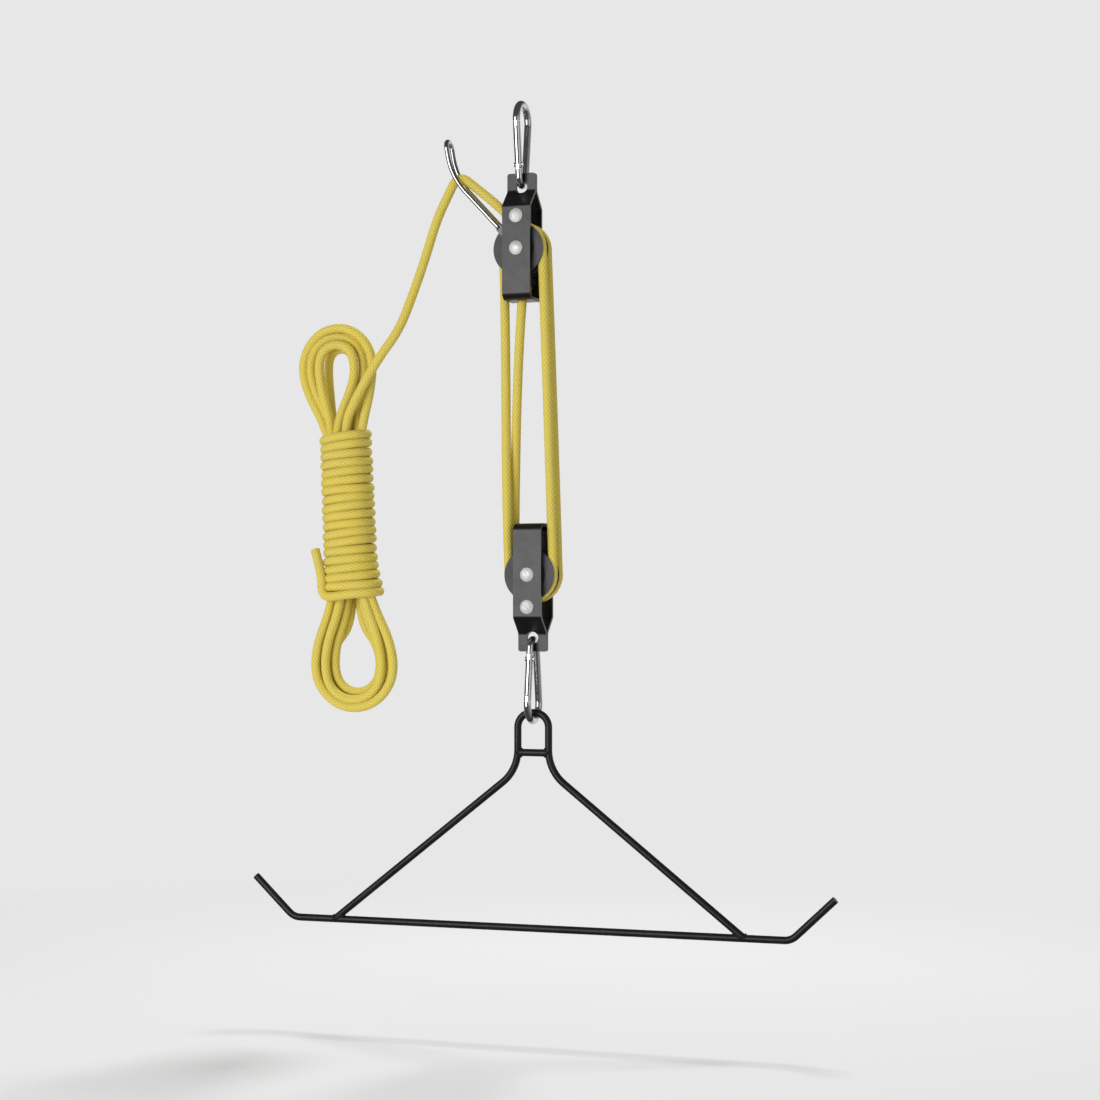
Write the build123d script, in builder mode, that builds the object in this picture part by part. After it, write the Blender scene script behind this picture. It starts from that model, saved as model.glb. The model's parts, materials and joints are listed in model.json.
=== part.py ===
from build123d import *

import os
from math import acos, asin, atan2, cos, degrees, hypot, radians, sin, tan

# A four-part rope hoist: two double-sheave blocks, a snap hook on each, a rope
# lock bail on the upper block, a hank of spare rope and a welded gambrel.
# All sizes are in millimetres. The origin is where the hoist hangs, at the
# inside of the upper snap hook's crown. Z is up, the strap plates face -Y.

# Rope
rope_dia = 8.0
rope_play = 0.3
rope_gap = 0.25

# Snap hooks
snap_wire = 6.4
snap_crown_radius = 14.5
snap_throat_radius = 8.0
snap_throat_drop = 66.4
snap_stub = 6.0
snap_gate_play = 0.4
snap_hinge_at = 9.7
snap_tang_thick = 2.6
snap_tang_width = 5.8
snap_slot_play = 0.2
snap_pin_dia = 2.4
snap_pin_head_dia = 3.6
snap_pin_head_high = 0.6
snap_nose_thick = 2.2
snap_nose_length = 4.6
snap_nose_width = 4.0
snap_nose_out = 0.8

# Strap of each block, bent from one strip
strap_width = 25.4
strap_thick = 2.5
strap_slit = 0.3
strap_axle_to_end = 44.0
strap_axle_to_crank = 36.8
strap_crank_rise = 13.3
strap_tab_length = 15.7
strap_bend_radius = 7.0
strap_crank_radius = 4.0
strap_tab_corner = 2.0
tab_hole_dia = 11.0
tab_hole_play = 0.9
becket_hole_dia = 9.0

# Sheaves, rivets and what stands between the plates
sheave_dia = 45.0
sheave_width = 10.4
sheave_pitch_radius = 20.0
groove_mouth_width = 9.0
sheave_hub_dia = 15.0
sheave_rim_inner_dia = 29.0
sheave_recess = 1.6
axle_tube_dia = 8.4
axle_tube_bore = 6.2
running_play = 0.05
side_play = 0.3
eye_thick = 2.2
eye_dia = 15.0
rivet_dia = 6.0
rivet_hole_play = 0.05
rivet_head_dia = 12.0
rivet_head_high = 2.2
axle_to_keeper = 27.6

# Rope lock bail
bail_wire = 4.0
bail_flat_height = 5.6
bail_flat_length = 27.0
bail_leg_length = 89.0
bail_tip_length = 32.0
bail_leg_angle = 133.1
bail_tip_angle = 100.0
bail_bend_radius = 62.0

# Gambrel
rod_dia = 6.35
gambrel_eye_half = 14.0
gambrel_eye_radius = 12.6
gambrel_eye_seat = 0.5
gambrel_crossbar_drop = 34.4
gambrel_bend_drop = 49.4
gambrel_bend_radius = 36.0
gambrel_height = 185.2
gambrel_weld_half = 186.5
gambrel_corner_half = 226.5
gambrel_corner_radius = 15.0
gambrel_tip_out = 37.2
gambrel_tip_rise = 35.3

# Where the lower block hangs from the upper one
block_spacing = 279.3
block_shift = 10.0

# Becket knot and the tail's way out
knot_ring_radius = 6.6
knot_end_high = 13.0
tail_heading = 129.0

# Hank
hank_centre = (-164.5, 0.0, -348.0)
hank_lean = 2.5
hank_waist_half = 79.0
hank_inner_more = 6.0
hank_slot = 8.9
hank_layer = 8.8
hank_belly = 34.0
wrap_pitch = 8.7
wrap_turns = 16
wrap_top = 72.35
wrap_play = 0.5
hank_sides = 8

# Where the rope runs, worked out from the sizes above
rope_radius = rope_dia / 2
strap_gap = 2 * sheave_width + 2 * eye_thick + 5 * side_play
strap_depth = strap_gap + 2 * strap_thick
eye_step = sheave_width + eye_thick + 2 * side_play
front_eye = (strap_gap - eye_thick) / 2 - side_play
middle_eye = front_eye - eye_step
front_sheave = (front_eye + middle_eye) / 2
back_sheave = front_sheave - eye_step
hook_crown_centre = snap_wire / 2 - snap_crown_radius
axle_to_throat = strap_axle_to_crank + strap_crank_rise + strap_tab_length / 2 - 2.4
upper_axle_z = -snap_throat_drop - axle_to_throat
lower_axle_z = upper_axle_z - block_spacing
throat_to_hole = tab_hole_dia / 2 - snap_wire / 2 - tab_hole_play
axle_to_hole = axle_to_throat - throat_to_hole
tackle_lean = degrees(atan2(block_shift, block_spacing))
gambrel_eye_z = lower_axle_z + upper_axle_z + rod_dia / 2 + gambrel_eye_seat

# Planes of the two blocks: x across the strap, y towards the tab, z to the front
upper_block = Plane(origin=(0, 0, upper_axle_z), x_dir=(1, 0, 0), z_dir=(0, -1, 0))
lower_block = Plane(
    origin=(block_shift, 0, lower_axle_z), x_dir=(-1, 0, 0), z_dir=(0, -1, 0)
)

os.makedirs("parts", exist_ok=True)


def side_of(plane):
    # The same place, with x to the front and y towards the tab
    return Plane(
        origin=plane.origin, x_dir=plane.z_dir, z_dir=plane.z_dir.cross(plane.y_dir)
    )


def radial_of(plane, depth):
    # A plane through the axle, with x outwards and y along the axle to the front
    return Plane(
        origin=plane.origin + plane.z_dir * depth,
        x_dir=plane.x_dir,
        z_dir=plane.x_dir.cross(plane.z_dir),
    )


def moved(plane, along_x, along_y):
    # The same plane, with its origin moved within itself
    origin = plane.origin + plane.x_dir * along_x + plane.y_dir * along_y
    return Plane(origin=origin, x_dir=plane.x_dir, z_dir=plane.z_dir)


def front_plane(depth):
    # x and y of this plane are X and Z, and its z points to the front
    return Plane(origin=(0, -depth, 0), x_dir=(1, 0, 0), z_dir=(0, -1, 0))


def make_wire(path, dia):
    with BuildSketch(Plane(path.line @ 0, z_dir=path.line % 0)) as section:
        Circle(dia / 2)
    sweep(section.sketch, path=path.line)


def write(piece, name):
    piece.part.label = name
    export_step(piece.part, f"parts/{name}.step")


# Straps


def make_strap(name, block):
    half_tab = strap_thick + strap_slit / 2
    half_depth = strap_depth / 2
    tab_foot = strap_axle_to_crank + strap_crank_rise
    tab_end = tab_foot + strap_tab_length
    across = side_of(block)
    along = Axis(block.origin, block.y_dir)
    with BuildPart() as strap:
        with BuildSketch(across):
            with BuildLine():
                FilletPolyline(
                    (half_tab, tab_end),
                    (half_tab, tab_foot),
                    (half_depth, strap_axle_to_crank),
                    (half_depth, -strap_axle_to_end),
                    (-half_depth, -strap_axle_to_end),
                    (-half_depth, strap_axle_to_crank),
                    (-half_tab, tab_foot),
                    (-half_tab, tab_end),
                    radius=(
                        [strap_crank_radius] * 2
                        + [strap_bend_radius] * 2
                        + [strap_crank_radius] * 2
                    ),
                )
                Line((-half_tab, tab_end), (half_tab, tab_end))
            make_face()
            offset(amount=-strap_thick, mode=Mode.SUBTRACT)
            with Locations((0, tab_end)):
                Rectangle(strap_slit, 3 * strap_thick, mode=Mode.SUBTRACT)
        extrude(amount=strap_width / 2, both=True)
        with BuildSketch(block):
            for height in (0, axle_to_keeper):
                with Locations((0, height)):
                    Circle(rivet_dia / 2 + rivet_hole_play)
            with Locations((0, axle_to_hole)):
                Circle(tab_hole_dia / 2)
        extrude(amount=strap_depth, both=True, mode=Mode.SUBTRACT)
        foot = moved(block, 0, -strap_axle_to_end)
        with BuildSketch(Plane(foot.origin, x_dir=foot.x_dir, z_dir=foot.y_dir)):
            Circle(becket_hole_dia / 2)
        extrude(amount=2 * strap_thick, both=True, mode=Mode.SUBTRACT)
        corners = strap.edges().filter_by(Axis(block.origin, block.z_dir))
        fillet(corners.group_by(along)[-1], strap_tab_corner)
    write(strap, name)


# Rivets, tubes and spacers


def make_rivet(name, block, height):
    # One turned shank with a low domed head at each end
    shank = rivet_dia / 2
    head = rivet_head_dia / 2
    half = strap_depth / 2
    rim = half + rivet_head_high / 3
    crown = half + rivet_head_high
    seat = moved(block, 0, height)
    with BuildPart() as rivet:
        with BuildSketch(radial_of(seat, 0)):
            with BuildLine():
                Polyline(
                    (head, -rim),
                    (head, -half),
                    (shank, -half),
                    (shank, half),
                    (head, half),
                    (head, rim),
                )
                TangentArc((0, crown), (head, rim), tangent=(1, 0))
                TangentArc((0, -crown), (head, -rim), tangent=(1, 0))
                Line((0, -crown), (0, crown))
            make_face()
        revolve(axis=Axis(seat.origin, seat.z_dir))
    write(rivet, name)


def make_ring(name, block, outer, bore, thick, depths):
    # Plain rings on the axle, one at each depth
    with BuildPart() as ring:
        for depth in depths:
            with BuildSketch(block.offset(depth)):
                Circle(outer / 2)
                Circle(bore / 2, mode=Mode.SUBTRACT)
            extrude(amount=thick / 2, both=True)
    write(ring, name)


# Sheaves


def make_sheave(name, block, depth):
    half = sheave_width / 2
    rim = sheave_dia / 2
    bore = axle_tube_dia / 2 + running_play
    groove = rope_radius + rope_play
    with BuildPart() as sheave:
        with BuildSketch(radial_of(block, depth)):
            with Locations(((bore + rim) / 2, 0)):
                Rectangle(rim - bore, sheave_width)
            with Locations((sheave_pitch_radius, 0)):
                Circle(groove, mode=Mode.SUBTRACT)
            with BuildLine():
                Polyline(
                    (sheave_pitch_radius, groove),
                    (rim, groove_mouth_width / 2),
                    (rim, -groove_mouth_width / 2),
                    (sheave_pitch_radius, -groove),
                    close=True,
                )
            make_face(mode=Mode.SUBTRACT)
            recess_long = (sheave_rim_inner_dia - sheave_hub_dia) / 2
            recess_mid = (sheave_rim_inner_dia + sheave_hub_dia) / 4
            with Locations((recess_mid, half), (recess_mid, -half)):
                RectangleRounded(
                    recess_long, 2 * sheave_recess, 0.6 * sheave_recess, mode=Mode.SUBTRACT
                )
        revolve(axis=Axis(block.origin, block.z_dir))
    write(sheave, name)


# Rope lock bail


def make_bail(name, block):
    leg = (cos(radians(bail_leg_angle)), sin(radians(bail_leg_angle)))
    tip = (cos(radians(bail_tip_angle)), sin(radians(bail_tip_angle)))

    def place(length_leg, length_tip, depth):
        flat = Vector(
            leg[0] * length_leg + tip[0] * length_tip,
            leg[1] * length_leg + tip[1] * length_tip,
            depth,
        )
        return block.from_local_coords(flat)

    start = bail_flat_length - bail_flat_height / 2
    end_radius = eye_step / 2 - 0.2
    with BuildPart() as bail:
        with BuildLine() as wire:
            FilletPolyline(
                place(start, 0, front_eye),
                place(bail_leg_length, 0, front_eye),
                place(bail_leg_length, bail_tip_length, front_eye),
                place(bail_leg_length, bail_tip_length, middle_eye),
                place(bail_leg_length, 0, middle_eye),
                place(start, 0, middle_eye),
                radius=[bail_bend_radius, end_radius, end_radius, bail_bend_radius],
            )
        make_wire(wire, bail_wire)
        for depth in (front_eye, middle_eye):
            with BuildSketch(block.offset(depth)):
                Circle(eye_dia / 2)
                middle = bail_flat_length / 2
                with Locations(Location((leg[0] * middle, leg[1] * middle), bail_leg_angle)):
                    SlotOverall(bail_flat_length, bail_flat_height)
                Circle(axle_tube_dia / 2 + running_play, mode=Mode.SUBTRACT)
            extrude(amount=eye_thick / 2, both=True)
    write(bail, name)
    return bail


# Snap hooks


def make_snap(prefix, block):
    # The hook lies in the plane square to the strap, u to the front and v from
    # the axle towards the crown. The gate closes its front side.
    half_wire = snap_wire / 2
    across = side_of(block)
    throat_v = axle_to_throat + snap_throat_radius
    crown_v = axle_to_throat + snap_throat_drop + hook_crown_centre
    run = crown_v - throat_v
    flare = asin((snap_crown_radius - snap_throat_radius) / run)
    side_long = run * cos(flare)
    along = Vector(sin(flare), cos(flare))
    outward = Vector(cos(flare), -sin(flare))
    foot = Vector(0, throat_v) + outward * snap_throat_radius
    hinge_point = foot + along * snap_hinge_at
    gate_dir = across.x_dir * along.X + across.y_dir * along.Y
    out_dir = across.x_dir * outward.X + across.y_dir * outward.Y
    # The gate's own plane: x outwards, y along the gate, origin on its hinge
    gate_plane = Plane(
        origin=across.from_local_coords(hinge_point), x_dir=out_dir, z_dir=across.z_dir
    )
    gate_cross = Plane(gate_plane.origin, x_dir=out_dir, z_dir=gate_dir)
    nose_y = side_long - snap_hinge_at
    gate_long = nose_y - snap_gate_play

    def flat(side, from_foot):
        # A place on the front side or, with side -1, on the spine
        place = foot + along * from_foot
        return (side * place.X, place.Y)

    with BuildPart() as hook:
        with BuildLine(across) as path:
            Line(flat(1, snap_stub), flat(1, 0))
            ThreePointArc(flat(1, 0), (0, axle_to_throat), flat(-1, 0))
            Line(flat(-1, 0), flat(-1, side_long))
            crown_end = (0, crown_v + snap_crown_radius)
            ThreePointArc(flat(-1, side_long), crown_end, flat(1, side_long))
        make_wire(path, snap_wire)
        with BuildSketch(gate_plane):
            # Tang for the hinge
            Circle(snap_tang_width / 2)
            with Locations((0, -(snap_hinge_at - snap_stub) / 2)):
                Rectangle(snap_tang_width, snap_hinge_at - snap_stub)
            Circle(snap_pin_dia / 2, mode=Mode.SUBTRACT)
        extrude(amount=snap_tang_thick / 2, both=True)
        with BuildSketch(gate_plane):
            # Tongue that the gate closes over, wider at its end
            with Locations((snap_nose_out, nose_y - snap_nose_length / 2)):
                Rectangle(snap_nose_width, snap_nose_length)
        extrude(amount=snap_nose_thick / 2, both=True)
    write(hook, f"{prefix}_snap_hook")

    slot_floor = snap_nose_out - snap_nose_width / 2 - snap_gate_play
    slot_long = snap_nose_length + snap_gate_play
    with BuildPart() as gate:
        with BuildSketch(gate_cross.offset(-half_wire)):
            Circle(half_wire)
        extrude(amount=half_wire + gate_long)
        with BuildSketch(gate_plane):
            # Rounded lower end about the hinge
            with Locations((0, -half_wire)):
                Rectangle(2 * snap_wire, snap_wire)
            Circle(half_wire, mode=Mode.SUBTRACT)
        extrude(amount=snap_wire, both=True, mode=Mode.SUBTRACT)
        with BuildSketch(gate_plane):
            # Fork over the tang
            Circle(snap_tang_width / 2 + snap_gate_play)
            with Locations((0, -snap_wire / 2)):
                Rectangle(2 * snap_wire, snap_wire)
        extrude(amount=snap_tang_thick / 2 + snap_slot_play, both=True, mode=Mode.SUBTRACT)
        with BuildSketch(gate_plane):
            # Slot for the tongue, open to the front
            with Locations((slot_floor, gate_long)):
                Rectangle(snap_wire * 2, slot_long, align=(Align.MIN, Align.MAX))
        extrude(amount=snap_nose_thick / 2 + snap_slot_play, both=True, mode=Mode.SUBTRACT)
        with BuildSketch(gate_plane):
            Circle(snap_pin_dia / 2 + running_play)
        extrude(amount=snap_wire, both=True, mode=Mode.SUBTRACT)
    write(gate, f"{prefix}_snap_gate")

    head_foot = half_wire + running_play
    with BuildPart() as pin:
        with BuildSketch(gate_plane):
            Circle(snap_pin_dia / 2)
        extrude(amount=head_foot, both=True)
        for side in (1, -1):
            with BuildSketch(gate_plane.offset(side * head_foot)):
                Circle(snap_pin_head_dia / 2)
            extrude(amount=side * snap_pin_head_high)
    write(pin, f"{prefix}_snap_gate_pin")


# Gambrel


def make_gambrel():
    mid = block_shift
    bar_z = gambrel_eye_z - gambrel_height
    bend_z = gambrel_eye_z - gambrel_bend_drop
    cross_z = gambrel_eye_z - gambrel_crossbar_drop
    tip_half = gambrel_corner_half + gambrel_tip_out
    with BuildPart() as bar:
        with BuildLine(front_plane(0)) as path:
            FilletPolyline(
                (mid - tip_half, bar_z + gambrel_tip_rise),
                (mid - gambrel_corner_half, bar_z),
                (mid + gambrel_corner_half, bar_z),
                (mid + tip_half, bar_z + gambrel_tip_rise),
                radius=gambrel_corner_radius,
            )
        make_wire(path, rod_dia)
    write(bar, "gambrel_bar")

    with BuildPart() as bow:
        with BuildLine(front_plane(0)) as path:
            FilletPolyline(
                (mid - gambrel_weld_half, bar_z),
                (mid - gambrel_eye_half, bend_z),
                (mid - gambrel_eye_half, gambrel_eye_z),
                (mid + gambrel_eye_half, gambrel_eye_z),
                (mid + gambrel_eye_half, bend_z),
                (mid + gambrel_weld_half, bar_z),
                radius=[
                    gambrel_bend_radius,
                    gambrel_eye_radius,
                    gambrel_eye_radius,
                    gambrel_bend_radius,
                ],
            )
        make_wire(path, rod_dia)
        # The legs are cut to sit on the bar
        with Locations((mid, 0, bar_z - rod_dia)):
            Box(
                2 * gambrel_weld_half + 8 * rod_dia,
                4 * rod_dia,
                2 * rod_dia,
                mode=Mode.SUBTRACT,
            )
        with BuildSketch(Plane(origin=(mid, 0, bar_z), z_dir=(1, 0, 0))):
            Circle(rod_dia / 2)
        extrude(amount=gambrel_corner_half, both=True, mode=Mode.SUBTRACT)
    write(bow, "gambrel_bow")

    with BuildPart() as crossbar:
        with BuildSketch(Plane(origin=(mid, 0, cross_z), z_dir=(1, 0, 0))):
            Circle(rod_dia / 2)
        extrude(amount=gambrel_eye_half, both=True)
        add(bow.part, mode=Mode.SUBTRACT)
    write(crossbar, "gambrel_crossbar")


# Reeved rope


def make_strand(name, start, end, start_trim, end_trim):
    way = (end - start).normalized()
    first = start + way * start_trim
    long = (end - start).length - start_trim - end_trim
    with BuildPart() as strand:
        with BuildSketch(Plane(first, z_dir=way)):
            Circle(rope_radius)
        extrude(amount=long)
    write(strand, name)
    return long


def make_wrap(name, centre, depth, start_angle, turn):
    with BuildPart() as wrap:
        with BuildLine(front_plane(depth)) as path:
            CenterArc(centre, sheave_pitch_radius, start_angle, turn)
        make_wire(path, rope_dia)
    write(wrap, name)
    return sheave_pitch_radius * radians(abs(turn))


def make_reeving():
    # The rope starts at a knot in the upper strap and ends at the keeper. The
    # back sheaves carry its first bight and the front sheaves its second.
    upper = (0, upper_axle_z)
    lower = (block_shift, lower_axle_z)
    becket_z = upper_axle_z - strap_axle_to_end + strap_thick / 2
    reach = (-block_shift, becket_z - lower_axle_z)
    dead_angle = degrees(
        atan2(reach[1], reach[0]) + acos(sheave_pitch_radius / hypot(*reach))
    )

    def on_sheave(centre, angle, depth):
        turn = radians(angle)
        return Vector(
            centre[0] + sheave_pitch_radius * cos(turn),
            -depth,
            centre[1] + sheave_pitch_radius * sin(turn),
        )

    front = front_sheave
    back = back_sheave
    right = tackle_lean
    left = 180 + tackle_lean
    used = 0.0
    knot_z = becket_z + strap_thick / 2
    with BuildPart() as knot:
        with Locations((0, 0, knot_z + rope_radius)):
            Torus(knot_ring_radius, rope_radius)
        with BuildSketch(Plane.XY.offset(knot_z)):
            Circle(rope_radius)
        extrude(amount=knot_end_high)
    write(knot, "rope_becket_knot")

    becket = Vector(0, 0, becket_z)
    used += make_strand(
        "rope_dead_strand",
        becket,
        on_sheave(lower, dead_angle, back),
        0.2 - strap_thick / 2,
        rope_gap,
    )
    used += make_wrap("rope_lower_back_wrap", lower, back, dead_angle, 360 + right - dead_angle)
    used += make_strand(
        "rope_right_back_strand",
        on_sheave(upper, right, back),
        on_sheave(lower, right, back),
        0,
        rope_gap,
    )
    used += make_wrap("rope_upper_back_wrap", upper, back, right, 180)
    used += make_strand(
        "rope_left_strand",
        on_sheave(upper, left, back),
        on_sheave(lower, left, front),
        rope_gap,
        rope_gap,
    )
    used += make_wrap("rope_lower_front_wrap", lower, front, left, 180)
    used += make_strand(
        "rope_right_front_strand",
        on_sheave(upper, right, front),
        on_sheave(lower, right, front),
        0,
        rope_gap,
    )

    # The last wrap runs over the sheave and out under the keeper
    keeper_bend = rivet_dia / 2 + rope_radius + rope_play
    nip = degrees(acos((sheave_pitch_radius + keeper_bend) / axle_to_keeper))
    leave_angle = 90 - nip
    with BuildPart() as wrap:
        with BuildLine(front_plane(front)) as path:
            over = CenterArc(
                upper, sheave_pitch_radius, tackle_lean, leave_angle - tackle_lean
            )
            under = CenterArc(
                (upper[0], upper[1] + axle_to_keeper),
                keeper_bend,
                leave_angle + 180,
                tail_heading - leave_angle - 90,
            )
            Line(over @ 1, under @ 0)
        make_wire(path, rope_dia)
        tail_start = path.line @ 1
        used += sum(edge.length for edge in path.edges())
    write(wrap, "rope_upper_front_wrap")
    return tail_start, used


# Free rope: the tail over the bail, the hank loops and the wrap round them


def hank_to_world(across, depth, along):
    lean = radians(hank_lean)
    return Vector(
        hank_centre[0] + across * cos(lean) - along * sin(lean),
        hank_centre[1] + depth,
        hank_centre[2] + across * sin(lean) + along * cos(lean),
    )


def corner_radii(points, limits):
    # The radius at each inner point, kept inside the runs beside it
    radii = []
    for index, limit in enumerate(limits):
        before = points[index + 1] - points[index]
        after = points[index + 2] - points[index + 1]
        turn = radians(before.get_angle(after))
        room = min(before.length, after.length) * 0.45
        radii.append(min(limit, room / max(tan(turn / 2), 0.02)))
    return radii


def least_gap(edges, dia):
    # The smallest gap from the cord to itself, between places over 4 diameters apart
    wire = Wire(edges)
    long = wire.length
    count = int(long / (dia / 2))
    places = [wire.position_at(i / count) for i in range(count + 1)]
    spots = [(p.X, p.Y, p.Z) for p in places]
    least = long
    apart = 8
    for i, first in enumerate(spots):
        for second in spots[i + apart :]:
            between = (
                (first[0] - second[0]) ** 2
                + (first[1] - second[1]) ** 2
                + (first[2] - second[2]) ** 2
            )
            least = min(least, between)
    return least**0.5 - dia


def make_cord(name, points, radii, sides=0):
    with BuildPart() as cord:
        with BuildLine() as path:
            FilletPolyline(*points, radius=radii)
        with BuildSketch(Plane(path.line @ 0, z_dir=path.line % 0)):
            if sides:
                RegularPolygon(rope_radius, sides)
            else:
                Circle(rope_radius)
        sweep()
    long = sum(edge.length for edge in path.edges())
    write(cord, name)
    print(name, "long", round(long, 1), "volume", round(cord.part.volume, 1))
    print(name, "least radius", round(min(radii), 1), "largest", round(max(radii), 1))
    print(name, "least gap to itself", round(least_gap(path.edges(), rope_dia), 2))
    return long


def make_free_rope(tail_start):
    # The tail bends over the bail's legs and falls to the hank
    slope = radians(tail_heading)
    tail_lead = Vector(cos(slope), 0, sin(slope))
    inner_half = hank_waist_half + hank_inner_more
    outer = 1.5 * hank_slot
    inner = 0.5 * hank_slot
    front = -hank_layer
    middle = 0.0
    rear = hank_layer
    waist_in = hank_to_world(inner, front, inner_half)
    over_loops = hank_to_world(19.0, front - 9.2, 103.0)
    join = over_loops + (waist_in - over_loops) * 0.5
    tail_points = [
        tail_start,
        tail_start + tail_lead * 15.0,
        Vector(-50.5, -front_sheave, -56.0),
        Vector(-62.5, -front_sheave, -62.0),
        Vector(-77.0, -front_sheave, -92.0),
        Vector(-88.0, -front_sheave, -126.0),
        Vector(-99.3, -9.0, -160.0),
        Vector(-109.0, -14.0, -188.0),
        Vector(-127.5, -18.0, -213.0),
        over_loops,
        join,
    ]
    tail_radii = corner_radii(tail_points, [60.0] * (len(tail_points) - 2))
    used = make_cord("rope_tail", tail_points, tail_radii)

    # The loops: each entry is the slot in the waist where it starts, the slot
    # where it ends, the end of the hank, the loop's middle, half its width and
    # how far out it reaches
    loops = (
        ((inner, front), (-inner, front), -1, 1.6, 21.4, 153.3),
        ((-inner, front), (outer, front), 1, 5.1, 22.0, 156.5),
        ((outer, front), (-outer, front), -1, 1.6, 37.6, 169.5),
        ((-outer, front), (outer, middle), 1, 0.0, 32.3, 165.5),
        ((outer, middle), (-outer, middle), -1, -1.6, 29.5, 161.4),
        ((-outer, middle), (inner, middle), 1, -5.1, 22.5, 156.5),
        ((inner, middle), (-inner, middle), -1, -1.6, 20.5, 152.4),
        ((-inner, middle), (inner, rear), 1, -0.5, 11.6, 148.0),
        ((inner, rear), (-inner, rear), -1, -4.8, 20.0, 150.0),
    )
    points = [join, waist_in]
    limits = [30.0]
    for start, end, side, mid, width, reach in loops:
        swing = 1 if start[0] > 0 else -1
        start_half = inner_half if abs(start[0]) == inner else hank_waist_half
        end_half = inner_half if abs(end[0]) == inner else hank_waist_half
        third = (end[1] - start[1]) / 3
        brow = swing * width * tan(radians(22.5))
        cheek = reach - width + abs(brow)
        route = (
            (start[0], start[1], start_half),
            (mid + swing * width, start[1], start_half + hank_belly),
            (mid + swing * width, start[1], cheek),
            (mid + brow, start[1] + third, reach),
            (mid - brow, end[1] - third, reach),
            (mid - swing * width, end[1], cheek),
            (mid - swing * width, end[1], end_half + hank_belly),
            (end[0], end[1], end_half),
        )
        for across, depth, along in route:
            points.append(hank_to_world(across, depth, side * along))
        limits += [30.0, 30.0, width, width, width, width, 30.0, 30.0]
    points.append(hank_to_world(-inner, rear, hank_waist_half - 12.0))
    radii = corner_radii(points, limits)
    used += make_cord("rope_hank_loops", points, radii, hank_sides)

    # The wrap: one turn after the other, with its corners cut at the rear, then
    # the end turned up on the left
    clear = rope_dia + wrap_play
    cut = clear * tan(radians(22.5))
    half_wide = outer + clear
    front_deep = front - clear
    rear_deep = rear + clear
    corners = (
        (-inner - cut, rear_deep),
        (inner + cut, rear_deep),
        (half_wide, middle + cut),
        (half_wide, front_deep),
        (-half_wide, front_deep),
        (-half_wide, middle + cut),
    )
    points = []
    count = len(corners)
    for index in range(wrap_turns * count + 4):
        across, depth = corners[index % count]
        points.append(hank_to_world(across, depth, wrap_top - wrap_pitch * index / count))
    last = wrap_top - wrap_pitch * (wrap_turns + 0.5)
    points.append(hank_to_world(-half_wide - 10.0, front_deep, last - 3.0))
    points.append(hank_to_world(-half_wide - 12.0, front_deep + 4.0, last + 42.0))
    radii = corner_radii(points, [rope_dia + wrap_play] * (len(points) - 2))
    used += make_cord("rope_hank_wrap", points, radii, hank_sides)
    return used


for which, block in (("upper", upper_block), ("lower", lower_block)):
    make_snap(which, block)
    make_strap(f"{which}_strap", block)
    make_rivet(f"{which}_axle_rivet", block, 0)
    make_rivet(f"{which}_keeper_rivet", block, axle_to_keeper)
    make_ring(
        f"{which}_axle_tube", block, axle_tube_dia, axle_tube_bore, strap_gap, (0,)
    )
    make_sheave(f"{which}_front_sheave", block, front_sheave)
    make_sheave(f"{which}_back_sheave", block, back_sheave)

make_bail("rope_lock_bail", upper_block)
for place, depth in (("front", front_eye), ("middle", middle_eye)):
    make_ring(
        f"lower_{place}_spacer",
        lower_block,
        eye_dia,
        axle_tube_dia + 2 * running_play,
        eye_thick,
        (depth,),
    )
make_gambrel()
tail_start, reeved_long = make_reeving()
free_long = make_free_rope(tail_start)
print("rope in all", round(reeved_long + free_long, 1))
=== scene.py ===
import json
import math

import bpy
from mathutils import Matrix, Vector


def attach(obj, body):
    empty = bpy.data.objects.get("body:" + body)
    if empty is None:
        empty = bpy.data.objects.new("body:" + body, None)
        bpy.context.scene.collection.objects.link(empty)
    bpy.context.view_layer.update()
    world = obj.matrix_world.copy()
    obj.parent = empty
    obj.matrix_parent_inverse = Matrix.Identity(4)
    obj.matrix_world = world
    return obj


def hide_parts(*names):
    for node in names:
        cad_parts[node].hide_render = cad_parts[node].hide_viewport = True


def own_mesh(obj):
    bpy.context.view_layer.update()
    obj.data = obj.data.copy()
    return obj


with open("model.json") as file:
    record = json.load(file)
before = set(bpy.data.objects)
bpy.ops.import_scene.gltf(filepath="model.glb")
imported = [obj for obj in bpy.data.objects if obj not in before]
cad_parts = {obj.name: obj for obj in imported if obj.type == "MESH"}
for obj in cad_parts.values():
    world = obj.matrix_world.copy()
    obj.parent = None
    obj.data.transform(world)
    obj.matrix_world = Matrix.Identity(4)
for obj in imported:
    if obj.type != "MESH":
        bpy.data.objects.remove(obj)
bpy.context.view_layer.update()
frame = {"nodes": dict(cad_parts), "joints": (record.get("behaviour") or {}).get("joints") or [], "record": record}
jointOf = {joint["name"]: joint for joint in frame["joints"]}
mm = 0.001
print("frame loaded:", len(frame["nodes"]), "nodes")


# node helpers, used by the shader and the geometry trees alike

def link(tree, value, socket):
    if isinstance(value, bpy.types.NodeSocket):
        tree.links.new(value, socket)
    else:
        socket.default_value = value


def put(tree, kind, values=None, **settings):
    node = tree.nodes.new(kind)
    for name, value in settings.items():
        setattr(node, name, value)
    for name, value in (values or {}).items():
        link(tree, value, node.inputs[name])
    return node


def calc(tree, operation, *values):
    node = put(tree, "ShaderNodeMath", operation=operation)
    for socket, value in zip(node.inputs, values):
        link(tree, value, socket)
    return node.outputs[0]


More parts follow.
